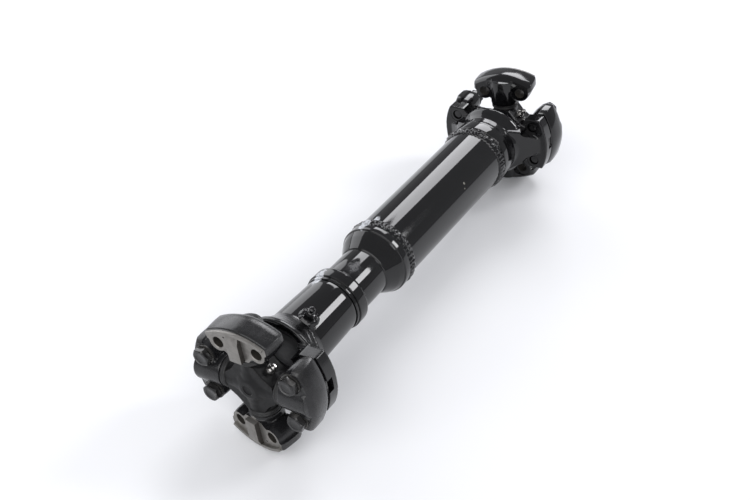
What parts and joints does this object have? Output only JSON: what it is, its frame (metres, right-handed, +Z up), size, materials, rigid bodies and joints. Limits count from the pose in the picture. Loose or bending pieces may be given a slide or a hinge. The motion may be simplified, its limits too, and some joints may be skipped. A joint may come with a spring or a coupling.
{
  "type": "universal joint shaft",
  "caption": "Telescoping tubular drive shaft with a wing-bearing cross joint at each end, a splined slip yoke at one end and a welded tube yoke at the other.",
  "frame": {"origin": "under the middle of the shaft, on the surface that it lies on", "axes": "+X along the shaft from the sliding yoke to the welded yoke, +Z up"},
  "size_m": [0.617, 0.158, 0.1587],
  "materials": {
    "gloss_black_paint": "gloss black paint over forged and drawn steel",
    "painted_weld": "gloss black paint over a rough weld bead",
    "wing_forging": "satin dark grey forging with ground faces",
    "cross_forging": "satin dark grey forging",
    "painted_bolt": "dark painted steel fastener",
    "washer_steel": "worn plated steel",
    "bearing_steel": "ground hardened steel",
    "nipple_steel": "plated steel",
    "plug_steel": "dull pressed steel",
    "seal_rubber": "matt black rubber"
  },
  "bodies": {
    "shaft": {"tube": "gloss_black_paint", "front_weld": "painted_weld", "rear_weld": "painted_weld", "splined_stub": "gloss_black_paint", "tube_yoke": "gloss_black_paint", "far_wing_left": "gloss_black_paint", "far_needles_left": "bearing_steel", "far_bolt_left_upper": "painted_bolt", "far_washer_left_upper": "washer_steel", "far_bolt_left_lower": "painted_bolt", "far_washer_left_lower": "washer_steel", "far_wing_right": "gloss_black_paint", "far_needles_right": "bearing_steel", "far_bolt_right_upper": "painted_bolt", "far_washer_right_upper": "washer_steel", "far_bolt_right_lower": "painted_bolt", "far_washer_right_lower": "washer_steel"},
    "slip": {"slip_yoke": "gloss_black_paint", "slip_yoke_plug": "plug_steel", "slip_seal": "seal_rubber", "dust_cap": "gloss_black_paint", "slip_nipple": "nipple_steel", "near_wing_left": "wing_forging", "near_needles_left": "bearing_steel", "near_bolt_left_upper": "painted_bolt", "near_washer_left_upper": "washer_steel", "near_bolt_left_lower": "painted_bolt", "near_washer_left_lower": "washer_steel", "near_wing_right": "wing_forging", "near_needles_right": "bearing_steel", "near_bolt_right_upper": "painted_bolt", "near_washer_right_upper": "washer_steel", "near_bolt_right_lower": "painted_bolt", "near_washer_right_lower": "washer_steel"},
    "near_cross": {"near_cross": "cross_forging", "near_cross_nipple": "nipple_steel", "near_seal_left": "seal_rubber", "near_seal_right": "seal_rubber", "near_seal_upper": "seal_rubber", "near_seal_lower": "seal_rubber"},
    "near_upper_block": {"near_wing_upper": "wing_forging", "near_needles_upper": "bearing_steel"},
    "near_lower_block": {"near_wing_lower": "wing_forging", "near_needles_lower": "bearing_steel"},
    "far_cross": {"far_cross": "cross_forging", "far_cross_nipple": "nipple_steel", "far_seal_left": "seal_rubber", "far_seal_right": "seal_rubber", "far_seal_upper": "seal_rubber", "far_seal_lower": "seal_rubber"},
    "far_upper_block": {"far_wing_upper": "gloss_black_paint", "far_needles_upper": "bearing_steel"},
    "far_lower_block": {"far_wing_lower": "gloss_black_paint", "far_needles_lower": "bearing_steel"}
  },
  "joints": [
    {"name": "slip_slide", "type": "slide", "parent": "shaft", "child": "slip", "axis": [-1, 0, 0], "range_m": [-0.012, 0.02]},
    {"name": "near_cross_tilt", "type": "hinge", "parent": "slip", "child": "near_cross", "pos_m": [-0.28183, 0, 0.0795], "axis": [0, 0.9877, -0.1564], "range_deg": [-18, 18]},
    {"name": "near_upper_swivel", "type": "hinge", "parent": "near_cross", "child": "near_upper_block", "pos_m": [-0.28183, 0, 0.0795], "axis": [0, 0.1564, 0.9877], "range_deg": [-18, 18]},
    {"name": "near_lower_swivel", "type": "hinge", "parent": "near_cross", "child": "near_lower_block", "pos_m": [-0.28183, 0, 0.0795], "axis": [0, 0.1564, 0.9877], "range_deg": [-8.5, 27.5]},
    {"name": "far_cross_tilt", "type": "hinge", "parent": "shaft", "child": "far_cross", "pos_m": [0.28257, 0, 0.0795], "axis": [0, 0.9877, -0.1564], "range_deg": [-18, 18]},
    {"name": "far_upper_swivel", "type": "hinge", "parent": "far_cross", "child": "far_upper_block", "pos_m": [0.28257, 0, 0.0795], "axis": [0, 0.1564, 0.9877], "range_deg": [-26, 10]},
    {"name": "far_lower_swivel", "type": "hinge", "parent": "far_cross", "child": "far_lower_block", "pos_m": [0.28257, 0, 0.0795], "axis": [0, 0.1564, 0.9877], "range_deg": [-18, 18]}
  ]
}
